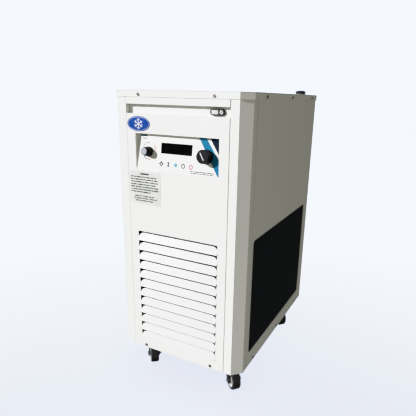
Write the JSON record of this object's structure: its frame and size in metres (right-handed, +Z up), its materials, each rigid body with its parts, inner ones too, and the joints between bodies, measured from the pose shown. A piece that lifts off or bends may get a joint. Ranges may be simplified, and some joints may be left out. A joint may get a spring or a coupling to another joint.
{
  "type": "recirculating chiller",
  "caption": "Floor-standing recirculating chiller: sheet cabinet on swivel casters with louvred front, control window with display and knobs, side air nets, filler cap and rear hose ports.",
  "frame": {"origin": "on the floor under the middle of the overall bounding box", "axes": "+Z up, front with the louvres towards -Y, +X to the right as seen from the front"},
  "size_m": [0.3576, 0.5478, 0.7409],
  "materials": {
    "cabinet_white": "satin, fine orange peel",
    "tray_grey": "satin",
    "fascia_print": "satin with printed colour fields",
    "display_black": "gloss",
    "circuit_board": "satin",
    "knob_black": "fine grain",
    "latch_black": "semi gloss",
    "latch_chrome": "polished",
    "badge_blue": "gloss",
    "label_grey": "matte film",
    "net_black": "fine woven net",
    "caster_black": "satin black",
    "zinc_steel": "zinc plated",
    "wheel_rubber": "matte",
    "stainless": "brushed",
    "foam_black": "closed-cell foam",
    "copper": "drawn copper tube",
    "condenser_fins": "thin fins",
    "compressor_black": "gloss black enamel",
    "pump_grey": "cast, painted",
    "pipe_clear": "insulated hose",
    "nozzle_plastic": "moulded",
    "brass_valve": "nickel-free, machined",
    "lever_red": "moulded",
    "cap_black": "moulded",
    "switch_black": "moulded"
  },
  "bodies": {
    "cabinet": {"badge_plate": "badge_blue", "base_tray": "tray_grey", "cabinet_screws": "zinc_steel", "caster_plates": "caster_black", "circuit_boards": "circuit_board", "circulation_pump": "pump_grey", "compressor": "compressor_black", "compressor_mounts": "wheel_rubber", "condenser_coil": "condenser_fins", "control_fascia": "fascia_print", "control_spindles": "zinc_steel", "coolant_pipes": "pipe_clear", "display_window": "display_black", "drain_valve": "brass_valve", "electrical_box": "zinc_steel", "evaporator_coil": "copper", "fan_motor": "compressor_black", "fan_shroud": "zinc_steel", "filler_neck": "stainless", "filter_drier": "copper", "front_panel": "cabinet_white", "header_strip": "cabinet_white", "hose_nozzles": "nozzle_plastic", "latch_housing": "latch_black", "panel_pocket": "cabinet_white", "post_front_left": "cabinet_white", "post_front_right": "cabinet_white", "power_inlet": "switch_black", "power_switch": "switch_black", "rating_label": "label_grey", "rear_panel": "cabinet_white", "refrigerant_lines": "copper", "reservoir_tank": "stainless", "side_net_left": "net_black", "side_net_right": "net_black", "side_panel_left": "cabinet_white", "side_panel_right": "cabinet_white", "tank_insulation": "foam_black", "temperature_probe": "stainless", "top_cover": "cabinet_white"},
    "caster_fl": {"caster_fork_fl": "caster_black", "caster_axle_fl": "zinc_steel"},
    "wheel_fl": {"caster_wheel_fl": "wheel_rubber"},
    "caster_fr": {"caster_fork_fr": "caster_black", "caster_axle_fr": "zinc_steel"},
    "wheel_fr": {"caster_wheel_fr": "wheel_rubber"},
    "caster_rl": {"caster_fork_rl": "caster_black", "caster_axle_rl": "zinc_steel"},
    "wheel_rl": {"caster_wheel_rl": "wheel_rubber"},
    "caster_rr": {"caster_fork_rr": "caster_black", "caster_axle_rr": "zinc_steel"},
    "wheel_rr": {"caster_wheel_rr": "wheel_rubber"},
    "setting_knob": {"setting_knob": "knob_black"},
    "flow_knob": {"flow_knob": "knob_black"},
    "latch_paddle": {"latch_paddle": "latch_chrome"},
    "latch_cylinder": {"latch_cylinder": "latch_chrome"},
    "filler_cap": {"filler_cap": "cap_black"},
    "drain_lever": {"drain_lever": "lever_red"},
    "power_rocker": {"power_rocker": "switch_black"},
    "fan_blade": {"fan_blade": "cap_black"}
  },
  "joints": [
    {"name": "swivel_fl", "type": "hinge", "parent": "cabinet", "child": "caster_fl", "pos_m": [-0.1217, -0.1931, 0.06], "axis": [0, 0, 1], "continuous": true},
    {"name": "roll_fl", "type": "hinge", "parent": "caster_fl", "child": "wheel_fl", "pos_m": [-0.1053, -0.21197, 0.025], "axis": [0.7547, 0.6561, 0], "continuous": true},
    {"name": "swivel_fr", "type": "hinge", "parent": "cabinet", "child": "caster_fr", "pos_m": [0.1217, -0.1931, 0.06], "axis": [0, 0, 1], "continuous": true},
    {"name": "roll_fr", "type": "hinge", "parent": "caster_fr", "child": "wheel_fr", "pos_m": [0.13998, -0.21015, 0.025], "axis": [0.682, 0.7314, 0], "continuous": true},
    {"name": "swivel_rl", "type": "hinge", "parent": "cabinet", "child": "caster_rl", "pos_m": [-0.1217, 0.1669, 0.06], "axis": [0, 0, 1], "continuous": true},
    {"name": "roll_rl", "type": "hinge", "parent": "caster_rl", "child": "wheel_rl", "pos_m": [-0.10342, 0.14985, 0.025], "axis": [0.682, 0.7314, 0], "continuous": true},
    {"name": "swivel_rr", "type": "hinge", "parent": "cabinet", "child": "caster_rr", "pos_m": [0.1217, 0.1669, 0.06], "axis": [0, 0, 1], "continuous": true},
    {"name": "roll_rr", "type": "hinge", "parent": "caster_rr", "child": "wheel_rr", "pos_m": [0.13998, 0.14985, 0.025], "axis": [0.682, 0.7314, 0], "continuous": true},
    {"name": "setting_turn", "type": "hinge", "parent": "cabinet", "child": "setting_knob", "pos_m": [0.076, -0.25119, 0.5935], "axis": [0, -0.991, 0.134], "range_deg": [-100, 200]},
    {"name": "flow_turn", "type": "hinge", "parent": "cabinet", "child": "flow_knob", "pos_m": [-0.076, -0.25119, 0.5935], "axis": [0, -0.991, 0.134], "range_deg": [-90, 180]},
    {"name": "paddle_pull", "type": "hinge", "parent": "cabinet", "child": "latch_paddle", "pos_m": [0.1, -0.2488, 0.6877], "axis": [0, 0, 1], "range_deg": [0, 60], "stiffness_Nm_per_rad": 0.01},
    {"name": "key_turn", "type": "hinge", "parent": "cabinet", "child": "latch_cylinder", "pos_m": [0.1084, -0.24, 0.6877], "axis": [0, 1, 0], "range_deg": [0, 90]},
    {"name": "cap_lift", "type": "slide", "parent": "cabinet", "child": "filler_cap", "axis": [0, 0, 1], "range_m": [0, 0.025]},
    {"name": "drain_turn", "type": "hinge", "parent": "cabinet", "child": "drain_lever", "pos_m": [0.095, 0.2579, 0.145], "axis": [0, 0, 1], "range_deg": [0, 90]},
    {"name": "power_rock", "type": "hinge", "parent": "cabinet", "child": "power_rocker", "pos_m": [-0.11, 0.2389, 0.177], "axis": [1, 0, 0], "range_deg": [0, 11]},
    {"name": "fan_spin", "type": "hinge", "parent": "cabinet", "child": "fan_blade", "pos_m": [0, -0.1686, 0.238], "axis": [0, 1, 0], "continuous": true}
  ]
}
